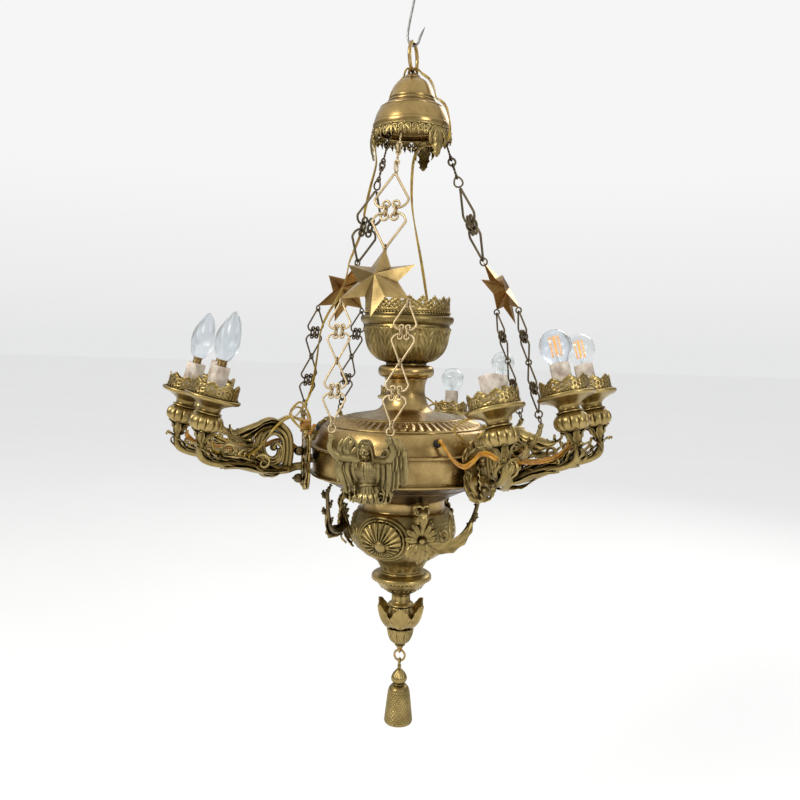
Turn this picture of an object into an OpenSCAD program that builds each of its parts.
// Sanctuary lamp hung by three chains, with a turned body, three angels and nine candle arms.
// Origin: the bearing point of the steel hook, with the lamp hanging below it. +Z is up.
// Angels, stars and main chains stand at 0, 120 and 240 degrees, where 0 faces -Y.

/* [Hook, ring and canopy] */

// Diameter of the steel hook wire
hook_wire = 3.8; // [2.5:0.1:6]

// Height from the hook's top bearing to its lower wire axis
hook_drop = 164.2; // [150:0.1:175]

// Mean radius of the ring that hangs in the hook
ring_r = 22.7; // [18:0.1:28]

// Wire radius of that ring
ring_wire = 3; // [2:0.1:4]

// Radius of the canopy at its rim
canopy_r = 62.2; // [50:0.1:75]

/* [Chains and stars] */

// Wire radius of the hearts in the three main chains
main_wire = 2; // [1.5:0.1:2.5]

// Half width of a main heart, to the wire's axis
main_heart_w = 26; // [20:0.5:30]

// Height of a main heart, to the wire's axis
main_heart_h = 56.5; // [45:0.5:60]

// Wire radius of the hearts in the six hand chains
hand_wire = 1.5; // [1:0.1:2]

// Half width of a hand heart, to the wire's axis
hand_heart_w = 16.5; // [12:0.5:20]

// Height of a hand heart, to the wire's axis
hand_heart_h = 38.5; // [30:0.5:42]

// Tip radius of the six-pointed stars
star_r = 60; // [50:1:70]

// Height of a star's centre over its edge
star_relief = 20; // [10:1:28]

/* [Body] */

// Wall of the spun brass pieces
wall = 2.5; // [1.5:0.1:4]

// Radius of the drum band between the shoulder and the base
drum_r = 152; // [148:0.5:153]

/* [Arms and candles] */

// Radius from the axis to the middle cup of each cluster
mid_cup_r = 330; // [310:1:345]

// Radius from the axis to the two side cups of each cluster
side_cup_r = 315; // [300:1:330]

// Angle of a side cup from the middle arm
side_cup_az = 20; // [17:0.5:24]

// Radius of the arm tube
arm_r = 5; // [4:0.1:6]

// Radius of the candle sleeve
sleeve_r = 13.5; // [12.5:0.1:15]

// Diameter of the round bulbs
globe_d = 45; // [40:1:46]

/* [Tassel] */

// Wire radius of the ring over the tassel
tassel_wire = 1.9; // [1.5:0.1:2.5]

// Radius of the tassel at its foot
tassel_r = 24; // [18:0.5:28]

/* [Hidden] */

brass = [0.66, 0.52, 0.25];
dark_brass = [0.40, 0.31, 0.16];
pale_brass = [0.78, 0.67, 0.42];
steel = [0.60, 0.60, 0.62];
amber = [0.62, 0.52, 0.12];

// Shared functions: points round the axis, smooth paths and tubes
function pt(r, az, z) = [r * sin(az), -r * cos(az), z];
function unit(v) = v / norm(v);
function knot(p, i) = p[max(0, min(len(p) - 1, i))];
function spline(a, b, c, d, t) =
    0.5 * (2 * b + (c - a) * t + (2 * a - 5 * b + 4 * c - d) * t * t
    + (3 * b - a - 3 * c + d) * t * t * t);
function smooth(p, n) = concat([for (i = [0:len(p) - 2]) for (j = [0:n - 1])
    spline(knot(p, i - 1), p[i], p[i + 1], knot(p, i + 2), j / n)], [p[len(p) - 1]]);
function slopes(p) = [for (i = [0:len(p) - 1]) unit(knot(p, i + 1) - knot(p, i - 1))];
function sides_of(t, n, i = 0, done = []) = i == len(t) ? done
    : let (m = i == 0 ? n : done[i - 1])
    sides_of(t, n, i + 1, concat(done, [unit(m - (m * t[i]) * t[i])]));
function swap(p) = [for (i = [len(p) - 1:-1:0]) p[i]];

// A round tube swept along a path, closed flat at both ends
module tube(p, r, n = 8, start = [0, 1, 0]) {
    t = slopes(p);
    s = sides_of(t, start);
    last = len(p) - 1;
    pts = [for (i = [0:last]) for (k = [0:n - 1])
        p[i] + r * (cos(360 * k / n) * s[i] + sin(360 * k / n) * cross(t[i], s[i]))];
    skin = [for (i = [0:last - 1]) for (k = [0:n - 1]) let (m = (k + 1) % n)
        [i * n + k, (i + 1) * n + k, (i + 1) * n + m, i * n + m]];
    polyhedron(points = pts, faces = concat([[for (k = [0:n - 1]) k]], skin,
        [[for (k = [n - 1:-1:0]) last * n + k]]), convexity = 8);
}

// A closed ring of round wire, lying flat about Z
module wire_ring(major, minor) {
    rotate_extrude($fn = 64)
        translate([major, 0])
        circle(r = minor, $fn = 24);
}

// A ring that stands in the XZ plane
module ring_xz(major, minor) {
    rotate([90, 0, 0]) wire_ring(major, minor);
}

// A ring that stands in the YZ plane
module ring_yz(major, minor) {
    rotate([0, 90, 0]) wire_ring(major, minor);
}

// A piece turned about the axis from a closed outline of [radius, height]
module turned(outline) {
    rotate_extrude($fn = 96) polygon(outline);
}

// A straight round bar between two points
module bar(a, b, r) {
    v = b - a;
    translate(a)
        rotate([0, acos(v[2] / norm(v)), atan2(v[1], v[0])])
        cylinder(r = r, h = norm(v), $fn = 24);
}

// The path of a half heart from the apex round the lobe into the curl
function heart_path(w, h, lobe, curl, top) =
    let (c = [w - lobe, lobe - h], v = c + [0, top],
        a = atan2(v[1], v[0]) + acos((lobe - top) / norm(v)),
        e = c + (lobe - curl) * [cos(-110), sin(-110)])
    concat([for (i = [0:2]) [top * cos(90 + (a - 90) * i / 2), top * sin(90 + (a - 90) * i / 2) - top]],
        [for (i = [0:6]) c + lobe * [cos(a - (a + 110) * i / 6), sin(a - (a + 110) * i / 6)]],
        [for (i = [1:6]) e + curl * [cos(-110 - 48 * i), sin(-110 - 48 * i)]]);

// A whole heart of one bent wire in the XZ plane, its apex at the top and its curls below
module heart(w, h, lobe, curl, top, r) {
    half = heart_path(w, h, lobe, curl, top);
    left = [for (q = swap(half)) [-q[0], 0, q[1]]];
    right = [for (i = [1:len(half) - 1]) [half[i][0], 0, half[i][1]]];
    tube(concat(left, right), r, 6);
}

// Two hearts curl to curl, with a small ring through each pair of curls
module heart_pair(w, h, lobe, curl, top, r, gap, link_r) {
    span = 2 * h + gap;
    cx = w - lobe + (lobe - curl) * cos(-110);
    cz = lobe - h + (lobe - curl) * sin(-110);
    heart(w, h, lobe, curl, top, r);
    translate([0, 0, -span])
        rotate([0, 180, 0])
        heart(w, h, lobe, curl, top, r);
    for (m = [-1, 1]) {
        translate([m * cx, 0, -span / 2])
            ring_yz(cz - curl + span / 2 + r + link_r + 0.1, link_r);
    }
}

// Main chain, in its own frame: it starts at the canopy hook and runs down -Z
main_pair_gap = 9;
z_rod = -5.4;
z_rod_end = -47.4;
z_link_ring = -53.9;
z_twist = -60.2;
z_twist_end = -78.2;
z_drop = -81.8;
z_main_heart = -98.6;
main_span = 2 * main_heart_h + main_pair_gap;

module main_chain_links() {
    translate([0, 0, z_rod]) ring_yz(4, 1.5);
    translate([0, 0, z_rod_end + 3]) cylinder(r = 1.6, h = z_rod - z_rod_end - 6, $fn = 24);
    translate([0, 0, z_rod_end]) ring_xz(4, 1.5);
    translate([0, 0, z_link_ring]) ring_yz(6, 1.75);
    translate([0, 0, z_twist]) ring_xz(3.5, 1.4);
    translate([0, 0, z_twist_end + 2.5]) cylinder(r = 1.8, h = z_twist - z_twist_end - 5, $fn = 24);
    translate([0, 0, z_twist_end]) ring_xz(3.5, 1.4);
    translate([0, 0, z_drop - 5]) ring_yz(8.4, 1.5);
    translate([0, 0, z_main_heart])
        heart_pair(main_heart_w, main_heart_h, 15, 5.5, 3.6, main_wire, main_pair_gap, 1.5);
    translate([0, -0.7, z_main_heart - main_span - 2.33]) ring_yz(6.08, 1.5);
}

// Places a piece built at 0 degrees round the axis
module about(az) {
    rotate([0, 0, az]) children();
}

// Where the main chain starts and which way it leans
module on_main_chain() {
    translate([0, -50, -290]) rotate([-20.4, 0, 0]) children();
}

// Where a hand chain starts, for the side s
module on_hand_chain(s) {
    translate([s * 50, -173, -579.5])
        rotate([-14.7, 0, 0])
        rotate([0, s * 2.3, 0])
        children();
}

hand_pair_gap = 7;
hand_span = 2 * hand_heart_h + hand_pair_gap;
z_hand_b = -1 - hand_span - 3.2;

module hand_chain_links() {
    translate([0, 0, -1.2]) ring_yz(4.6, 1.4);
    translate([0, 0, -1])
        heart_pair(hand_heart_w, hand_heart_h, 9.5, 3.2, 3, hand_wire, hand_pair_gap, 1.1);
    translate([0, 0, z_hand_b + 1.6]) ring_yz(4.7, 1.4);
    translate([0, 0, z_hand_b])
        heart_pair(hand_heart_w, hand_heart_h, 9.5, 3.2, 3, hand_wire, hand_pair_gap, 1.1);
    translate([0, 0, z_hand_b - hand_span - 3.3]) ring_yz(6.4, 1.4);
    translate([0, 0, z_hand_b - hand_span - 12.1]) ring_xz(5.4, 1.3);
}

// The star: a six-pointed faceted shell, hollow at the back
function star_ring(r, z) = [for (i = [0:11]) let (q = (i % 2 == 0 ? r : r / 2))
    [q * sin(30 * i), z, q * cos(30 * i)]];

module star() {
    outer = star_ring(star_r, 0);
    inner = star_ring(star_r - 5, 0);
    pts = concat(outer, inner, [[0, -star_relief, 0], [0, 3 - star_relief, 0]]);
    front = [for (i = [0:11]) [24, (i + 1) % 12, i]];
    hollow = [for (i = [0:11]) [25, 12 + i, 12 + (i + 1) % 12]];
    edge = [for (i = [0:11]) [i, (i + 1) % 12, 12 + (i + 1) % 12, 12 + i]];
    difference() {
        polyhedron(points = pts, faces = concat(front, hollow, edge));
        translate([-4, -6, star_r - 1.8]) cube([8, 12, 8]);
        translate([0, 6, star_r - 7.65]) rotate([90, 0, 0]) cylinder(r = 2.2, h = 16, $fn = 32);
    }
}

module placed_star() {
    translate([0, -158, -549]) rotate([-31, 0, 0]) star();
}

// Angel: a half figure with raised arms and two wings
wing_plan = [[10, -822], [16, -800], [26, -782], [36, -774], [44, -778], [50, -798],
    [52, -830], [49, -858], [40, -867], [30, -850], [18, -838]];

module angel() {
    bar([0, -152.1, -840], [0, -170, -840], 7);
    translate([0, -179, -868]) cylinder(r1 = 22, r2 = 14, h = 44, $fn = 48);
    bar([0, -178, -830], [0, -190, -800], 12.2);
    bar([0, -189, -802], [0, -196, -788], 6);
    translate([0, -198, -786]) sphere(r = 12.5, $fn = 48);
    for (s = [-1, 1]) {
        bar([s * 8, -188, -808], [s * 34, -204, -812], 5.5);
        translate([s * 34, -204, -812]) sphere(r = 6.8, $fn = 32);
        bar([s * 34, -204, -812], [s * 42, -221, -773], 5);
        translate([s * 42, -221, -772.5]) sphere(r = 6.5, $fn = 32);
    }
    for (m = [0, 1]) {
        mirror([m, 0, 0])
            translate([0, -166, 0])
            rotate([90, 0, 0])
            linear_extrude(height = 5)
            polygon(wing_plan);
    }
}

// Arm cluster placement: azimuth of each cluster, its tilt at the plate, how far its cups lean,
// its longer reach, and how far each cup's foot is bent up or down
cluster_az = [60, 180, 300];
cluster_tilt = [-6, 9, -0.5];
cup_lean = [-11, 0, -14];
more_reach = [5, 0, 28];
cup_rise = [[-13, 0, 0], [0, -32, -8], [0, 0, 0]];

// Cup positions in a cluster, as [radius, azimuth]
cups_at = [[side_cup_r, -side_cup_az], [mid_cup_r, 0], [side_cup_r, side_cup_az]];
function eased(u) = let (v = max(0, min(1, u))) v * v * (3 - 2 * v);

module on_cluster(k) {
    rotate([0, 0, cluster_az[k]])
        translate([0, -160, -824])
        rotate([cluster_tilt[k], 0, 0])
        translate([0, 160, 824])
        children();
}

// A point of an untilted cluster, moved with the cluster's tilt
function drooped(p, t) = [p[0],
    cos(t) * (p[1] + 160) - sin(t) * (p[2] + 824) - 160,
    sin(t) * (p[1] + 160) + cos(t) * (p[2] + 824) - 824];

// Arm path as [radius, part of the fan angle, height]
arm_knots = [[164.9, 0, -836.8], [176, 0, -836.8], [196, 0.08, -842], [222, 0.3, -838], [250, 0.55, -826],
    [280, 0.8, -818], [306, 0.95, -816], [326, 1, -806], [330, 1, -788], [330, 1, -773]];

function arm_path(k, j) = smooth([for (i = [0:len(arm_knots) - 1])
    let (q = arm_knots[i], reach = cups_at[j][0] + more_reach[k])
    pt(q[0] + (reach - 330) * (q[0] - 164.5) / 165.5 - (i == 8 ? 0.28 : i == 7 ? 0.3 : 0) * cup_lean[k],
        cups_at[j][1] * q[1],
        q[2] + cup_rise[k][j] * eased((q[0] - 222) / 84))], 3);

volute_knots = [[196, -842], [192, -826], [190.5, -800], [195, -778], [209, -768], [226, -776],
    [234, -800], [230, -822], [216, -832], [204, -824], [202, -808], [210, -798]];

module arm_cluster(k) {
    on_cluster(k) {
        for (j = [0:2]) {
            tube(arm_path(k, j), arm_r, 8, [1, 0, 0]);
        }
        tube(smooth([for (q = volute_knots) pt(q[0], 0, q[1])], 2), 6.5, 8, [1, 0, 0]);
    }
}

// The shield plate that carries a cluster
plate_plan = [[-10, -876], [-24, -862], [-34, -842], [-30, -824], [-36, -806], [-28, -790],
    [-14, -786], [-10, -776], [0, -768], [10, -776], [14, -786], [28, -790], [36, -806],
    [30, -824], [34, -842], [24, -862], [10, -876]];

module arm_plate(k) {
    on_cluster(k)
        translate([0, -158.5, 0])
        rotate([90, 0, 0])
        linear_extrude(height = 6)
        polygon(plate_plan);
}

// Places a piece that is built on the cup's own axis
module at_cup(k, j) {
    on_cluster(k)
        translate(pt(cups_at[j][0] + more_reach[k], cups_at[j][1], cup_rise[k][j] - 772))
        rotate([cup_lean[k], 0, 0])
        translate([0, 0, 772])
        children();
}

module at_each_cup() {
    for (k = [0:2]) {
        for (j = [0:2]) {
            at_cup(k, j) children();
        }
    }
}

cup_outline = [[0, -772], [6, -772], [8, -768], [14, -767], [21, -762], [22.5, -754], [21, -745],
    [16, -740], [15, -735], [20, -728], [32, -722.5], [38, -720], [39.5, -718], [39.5, -716],
    [0, -716]];

// Bulbs: the socket axis is the cup axis and the bulb rises out of the holder
round_bulb = [[0, -697], [6.9, -697], [6.9, -680], [10.5, -678], [11.8, -672.6], [15, -668.5], [18, -662]];
flame_bulb = [[0, -690], [6.9, -690], [6.9, -664], [11, -661], [15, -652], [17.5, -640],
    [16.5, -626], [12, -612], [6, -600], [0, -593]];

module globe_bulb() {
    zc = -648;
    rr = globe_d / 2;
    turned(concat(round_bulb,
        [for (a = [-38:8:82]) [rr * cos(a), zc + rr * sin(a)]], [[0, zc + rr]]));
}

module candle_bulb() {
    turned(flame_bulb);
}

// Cables, each a hand-laid route of round numbers
feed_route = [[16, -4, -209], [30, -8, -221], [38, -10, -236], [42, -11, -250], [50, -13, -256],
    [59, -16, -266], [64, -17, -280], [67, -18, -296], [66, -18, -312], [56, -14, -322],
    [36, -7, -322], [16, 0, -324], [5, 0, -340], [2, 0, -380], [4, 1, -420], [11, 3, -460],
    [19, 5, -500], [27, 7, -545], [34, 9, -590], [33, 9, -625], [22, 6, -644], [9, 2, -650]];
side_route = [[-16, 4, -209], [-30, 6, -221], [-38, 7, -236], [-42, 8, -250], [-51, 9, -256],
    [-60, 11, -266], [-65, 12, -280], [-67, 13, -296], [-68, 22, -318], pt(78, 244.5, -340),
    pt(91, 244, -375), pt(105.5, 242.6, -412), pt(111, 241, -426), pt(116.4, 240.2, -440),
    pt(122, 241, -456), pt(131, 244, -484),
    pt(130, 248, -500), pt(134, 250, -530), pt(146, 252, -560), pt(160, 256, -590),
    pt(174, 256, -620), pt(187, 254, -670), pt(200, 253, -720), pt(206, 257, -752),
    pt(200, 268, -768), pt(184, 284, -764), pt(170, 296, -762), pt(166, 299, -770)];
lead_mid = [[146.8, -24, -781.42], [155.5, -24, -777.55], [162, -22, -790], [167, -18, -806], [171, -13, -814],
    [177, -9, -808], [188, -7, -797], [204, -6, -797], [224, -5.5, -806], [250, -5, -806],
    [280, -3.5, -806], [306, -1.8, -800], [319, 0, -787], [320.5, 0, -779]];
function lead_path(k) = smooth([for (i = [0:len(lead_mid) - 1])
    let (q = lead_mid[i], far = i < 4 ? 0 : 1)
    drooped(pt(q[0] + far * more_reach[k] * (q[0] - 164.5) / 165.5, q[1],
        q[2] + cup_rise[k][1] * eased((q[0] - 222) / 84)), far * cluster_tilt[k])], 2);

/* Sub-parts */

module hanging_hook() {
    path = [[-12, 0, -30], [-12, 0, -14], [-8, 0, -3], [0, 0, 1.9], [8, 0, -3], [12, 0, -16],
        [10, 0, -40], [0, 0, -90], [-8, 0, -130], [-10, 0, -148], [-7, 0, -159],
        [0, 0, -hook_drop], [7, 0, -160], [11, 0, -150], [18, 0, -136]];
    color(steel) tube(smooth(path, 3), hook_wire / 2, 8);
}

module top_ring() {
    color(brass) translate([0, 0, -181.7]) ring_yz(ring_r, ring_wire);
}

module canopy_eye() {
    color(brass) {
        difference() {
            translate([0, 0, -206.1]) ring_xz(7, 2);
            translate([-12, -12, -220]) cube([24, 24, 11.6]);
        }
        translate([0, 0, -208.95]) cylinder(r = 9.1, h = 1.3, $fn = 48);
        translate([0, 0, -222]) cylinder(r = 3.85, h = 13.5, $fn = 32);
    }
}

module canopy_dome() {
    color(brass)
        turned([[4, -214], [4, -209], [9.3, -209], [15.1, -216], [24.6, -222.5], [32, -235.6],
            [36.8, -250.7], [34.8, -250.7], [30, -235.6], [22.6, -224], [13, -218]]);
}

module canopy_bell() {
    color(brass)
        turned([[34.8, -250.7], [38.6, -250.7], [39, -255.4], [50.9, -262.8], [57.4, -275],
            [61.2, -288.4], [canopy_r, -296.8], [canopy_r - 2, -296.8], [59.2, -288.4],
            [55.4, -275.6], [49.9, -264.6], [37, -257.2], [34.8, -255]]);
}

module canopy_fringe() {
    color(dark_brass) {
        difference() {
            translate([0, 0, -312]) cylinder(r = canopy_r, h = 15.2, $fn = 96);
            translate([0, 0, -313]) cylinder(r = canopy_r - 2, h = 17, $fn = 96);
            for (i = [0:17]) {
                rotate([0, 0, 20 * i + 6])
                    translate([0, -canopy_r + 6, -305])
                    rotate([90, 0, 0])
                    cylinder(r = 3, h = 12, $fn = 24);
            }
        }
        for (az = [-64, 56, 176]) {
            about(az)
                translate([0, 3 - canopy_r, 0])
                rotate([90, 0, 0])
                linear_extrude(height = 4)
                polygon([[-14, -299], [-17, -316], [-12, -330], [-4, -342], [0, -348],
                    [4, -342], [12, -330], [17, -316], [14, -299]]);
        }
    }
}

module canopy_hanger() {
    color(dark_brass) {
        translate([0, 0, -288]) cylinder(r = 10, h = 6, $fn = 48);
        for (az = [0, 120, 240]) {
            about(az) bar([0, -8, -285], [0, -57.2, -285], 2.4);
            about(az) translate([0, -51.75, -289.95]) ring_xz(5, 2);
        }
    }
}

module main_chain_1() {
    color(pale_brass) about(0) on_main_chain() main_chain_links();
}

module main_chain_2() {
    color(dark_brass) about(120) on_main_chain() main_chain_links();
}

module main_chain_3() {
    color(dark_brass) about(240) on_main_chain() main_chain_links();
}

module star_1() {
    color(brass) about(0) placed_star();
}

module star_2() {
    color(brass) about(120) placed_star();
}

module star_3() {
    color(brass) about(240) placed_star();
}

module hand_chains(az) {
    about(az) {
        on_hand_chain(1) hand_chain_links();
        on_hand_chain(-1) hand_chain_links();
    }
}

module hand_chains_1() {
    color(pale_brass) hand_chains(0);
}

module hand_chains_2() {
    color(dark_brass) hand_chains(120);
}

module hand_chains_3() {
    color(dark_brass) hand_chains(240);
}

module angel_1() {
    color(dark_brass) about(0) angel();
}

module angel_2() {
    color(dark_brass) about(120) angel();
}

module angel_3() {
    color(dark_brass) about(240) angel();
}

module bowl_gallery() {
    color(brass) {
        difference() {
            translate([0, 0, -592]) cylinder(r = 69, h = 33, $fn = 96);
            translate([0, 0, -593]) cylinder(r = 67, h = 35, $fn = 96);
            for (i = [0:19]) {
                rotate([0, 0, 18 * i])
                    translate([0, -62, -561])
                    rotate([90, 0, 0])
                    cylinder(r = 4, h = 12, $fn = 24);
            }
        }
    }
}

module light_bowl() {
    color(brass)
        turned([[66, -592], [74, -592], [76, -596], [76, -602], [70, -607], [69.6, -610],
            [65.3, -624], [62.9, -637], [57.4, -650], [46.9, -661], [33.1, -668], [6, -668],
            [6, -664], [32, -664], [45, -657.6], [54.6, -648], [60, -636], [62.6, -623],
            [66, -609]]);
}

module neck_knob() {
    color(brass)
        turned([[6, -668], [33, -668], [34, -672], [42, -673], [45.6, -678], [45.6, -686],
            [42, -691], [34.5, -693], [34.5, -695], [6, -695]]);
}

module body_neck() {
    color(brass)
        turned(concat([[34.5, -695], [31.8, -704], [31.2, -716], [34, -727], [37.3, -736],
            [45, -746], [60, -749.5], [79, -753], [92, -755]],
            [[92, -757.5], [60, -752.4], [44, -749], [34.8, -738], [31.5, -728], [28.7, -716],
            [29.3, -704], [32, -695]]));
}

module body_cover() {
    color(brass)
        turned([[90, -757.6], [93, -757.6], [128, -769], [136, -773], [144, -790], [148, -802],
            [156, -803], [156, -806], [150, -806], [145.5, -803], [141.5, -791], [134, -775.4],
            [127, -771.6], [92, -760]]);
}

module body_drum() {
    color(brass)
        turned([[drum_r, -806], [drum_r, -846], [154, -848], [154, -850], [drum_r - wall, -850],
            [drum_r - wall, -806]]);
}

module body_base() {
    color(dark_brass)
        turned([[150, -850], [147.7, -850], [146, -852], [138, -854.5], [75.5, -887], [69, -889],
            [69, -907], [75.5, -909], [72.5, -909.1], [66, -908], [66, -888], [73, -884.6],
            [136, -851.8], [144, -850]]);
}

module lower_bulb() {
    color(brass)
        turned([[75.5, -909.2], [82, -935], [83.7, -946], [80.4, -959.5], [73.8, -973], [64, -981],
            [51, -989], [41, -997], [36, -1004], [35.3, -1012], [6, -1012], [6, -1009],
            [32, -1008], [33, -1003], [39, -995.4], [50, -986.4], [62.4, -978.6], [71.6, -971.6],
            [77.8, -959], [81, -946], [79.4, -935], [72.5, -909.2]]);
}

module finial_saucer() {
    color(brass)
        turned([[6, -1012], [36, -1012], [49, -1019], [50, -1023], [48, -1026], [41, -1032.5],
            [33.6, -1041], [26.3, -1047], [15.9, -1052], [15.6, -1065], [21, -1070], [21, -1073],
            [6, -1073]]);
}

module leaf_cup() {
    color(brass) {
        turned([[6, -1073], [18, -1073], [22, -1090], [20, -1108], [6, -1110]]);
        for (i = [0:5]) {
            rotate([0, 0, 60 * i + 16])
                translate([0, -19, -1104])
                rotate([33, 0, 0])
                translate([0, 2, 0])
                rotate([90, 0, 0])
                linear_extrude(height = 3)
                polygon([[-7, 0], [-14, 12], [-16, 24], [-11, 34], [0, 42], [11, 34], [16, 24],
                    [14, 12], [7, 0]]);
        }
    }
}

module finial_bud() {
    color(brass) {
        turned([[0, -1112], [6, -1112], [6, -1110], [20, -1110], [20.3, -1114], [18.9, -1124],
            [14.8, -1133.5], [6.6, -1140], [5.7, -1146.4], [0, -1146.4]]);
        translate([0, 0, -1150.7]) ring_yz(4, 1.6);
    }
}

module centre_rod() {
    color(steel) {
        translate([0, 0, -1112]) cylinder(r = 5.9, h = 460, $fn = 32);
        translate([0, 0, -664]) cylinder(r = 11, h = 7, $fn = 6);
    }
}

module arm_plate_1() {
    color(brass) arm_plate(0);
}

module arm_plate_2() {
    color(brass) arm_plate(1);
}

module arm_plate_3() {
    color(brass) arm_plate(2);
}

module arm_cluster_1() {
    color(dark_brass) arm_cluster(0);
}

module arm_cluster_2() {
    color(dark_brass) arm_cluster(1);
}

module arm_cluster_3() {
    color(dark_brass) arm_cluster(2);
}

module arm_nuts() {
    color(dark_brass) {
        for (k = [0:2]) {
            about(cluster_az[k]) {
                for (x = [-17, 17]) {
                    bar([x, -151.6, -824], [x, -157.8, -824], 4);
                }
            }
            on_cluster(k) {
                for (z = [-812, -856]) {
                    bar([0, -164.5, z], [0, -172, z], 4);
                    translate([0, -176, z]) sphere(r = 7, $fn = 32);
                }
            }
        }
    }
}

module candle_cups() {
    color(brass) at_each_cup() turned(cup_outline);
}

module cup_crowns() {
    color(brass) {
        at_each_cup() {
            turned([[34.5, -716], [34.5, -693], [33.2, -693], [33.2, -716]]);
        }
    }
}

module candle_sleeves() {
    color([0.86, 0.83, 0.76]) {
        at_each_cup() {
            turned([[sleeve_r, -716], [sleeve_r, -673], [sleeve_r - 1, -673], [sleeve_r - 1, -716]]);
        }
    }
}

module lamp_holders() {
    color([0.12, 0.11, 0.10]) {
        at_each_cup() {
            turned([[0, -716], [11.8, -716], [11.8, -682], [7.3, -682], [7.3, -700], [0, -700]]);
        }
    }
}

module bulb_1() {
    color([0.85, 0.88, 0.88]) at_cup(2, 0) candle_bulb();
}

module bulb_2() {
    color([0.85, 0.88, 0.88]) at_cup(2, 1) candle_bulb();
}

module bulb_3() {
    color([0.85, 0.88, 0.88]) at_cup(2, 2) candle_bulb();
}

module bulb_4() {
    color([0.85, 0.88, 0.88]) at_cup(0, 1) globe_bulb();
}

module bulb_5() {
    color([0.85, 0.88, 0.88]) at_cup(0, 2) globe_bulb();
}

module bulb_6() {
    color([0.85, 0.88, 0.88]) at_cup(1, 0) globe_bulb();
}

module bulb_7() {
    color([0.85, 0.88, 0.88]) at_cup(1, 1) globe_bulb();
}

module scroll_brackets() {
    stem = [pt(90, 0, -882), pt(98, 0, -888), pt(108, 0, -902), pt(108, 0, -920), pt(99, 0, -938),
        pt(93, 0, -956), pt(84, 0, -972)];
    branch = [pt(112, 3, -908), pt(120, 12, -912), pt(130, 24, -902), pt(138, 36, -884),
        pt(140, 42, -866)];
    color(dark_brass) {
        for (az = [-87, 33, 153]) {
            about(az) {
                tube(smooth(stem, 3), 4.5, 8, [1, 0, 0]);
                tube(smooth(branch, 3), 3.5, 8, [0, 0, 1]);
                translate([0, -108, -912]) sphere(r = 12, $fn = 32);
            }
        }
    }
}

module feed_cable() {
    color(amber) tube(smooth(feed_route, 3), 2.2, 8);
}

module side_cable() {
    color(amber) tube(smooth(side_route, 3), 2.2, 8);
}

module arm_leads() {
    color(amber) {
        for (k = [0:2]) {
            about(cluster_az[k]) {
                tube(lead_path(k), 2.4, 8, [1, 0, 0]);
            }
        }
    }
}

module cable_grommets() {
    color([0.05, 0.05, 0.05]) {
        for (az = [36, 156, 276]) {
            about(az) {
                difference() {
                    bar([0, -141.3, -783.87], [0, -150, -780], 5);
                    bar([0, -139, -784.89], [0, -152, -779.11], 3);
                }
            }
        }
    }
}

module tassel_ring() {
    color(brass) translate([0, 0, -1160]) ring_xz(9.1, tassel_wire);
}

module tassel() {
    color(brass) {
        translate([0, 0, -1170.3]) ring_yz(5, 1.6);
        turned([[0, -1176], [2.6, -1176], [3, -1184], [6, -1186], [12.5, -1199], [9.4, -1207],
            [16.4, -1216.5], [17.9, -1221], [tassel_r, -1266], [23, -1275], [20, -1275], [20, -1266],
            [14, -1224], [0, -1222]]);
    }
}

hanging_hook();
top_ring();
canopy_eye();
canopy_dome();
canopy_bell();
canopy_fringe();
canopy_hanger();
main_chain_1();
main_chain_2();
main_chain_3();
star_1();
star_2();
star_3();
hand_chains_1();
hand_chains_2();
hand_chains_3();
angel_1();
angel_2();
angel_3();
bowl_gallery();
light_bowl();
neck_knob();
body_neck();
body_cover();
body_drum();
body_base();
lower_bulb();
finial_saucer();
leaf_cup();
finial_bud();
centre_rod();
arm_plate_1();
arm_plate_2();
arm_plate_3();
arm_cluster_1();
arm_cluster_2();
arm_cluster_3();
arm_nuts();
candle_cups();
cup_crowns();
candle_sleeves();
lamp_holders();
bulb_1();
bulb_2();
bulb_3();
bulb_4();
bulb_5();
bulb_6();
bulb_7();
scroll_brackets();
feed_cable();
side_cable();
arm_leads();
cable_grommets();
tassel_ring();
tassel();
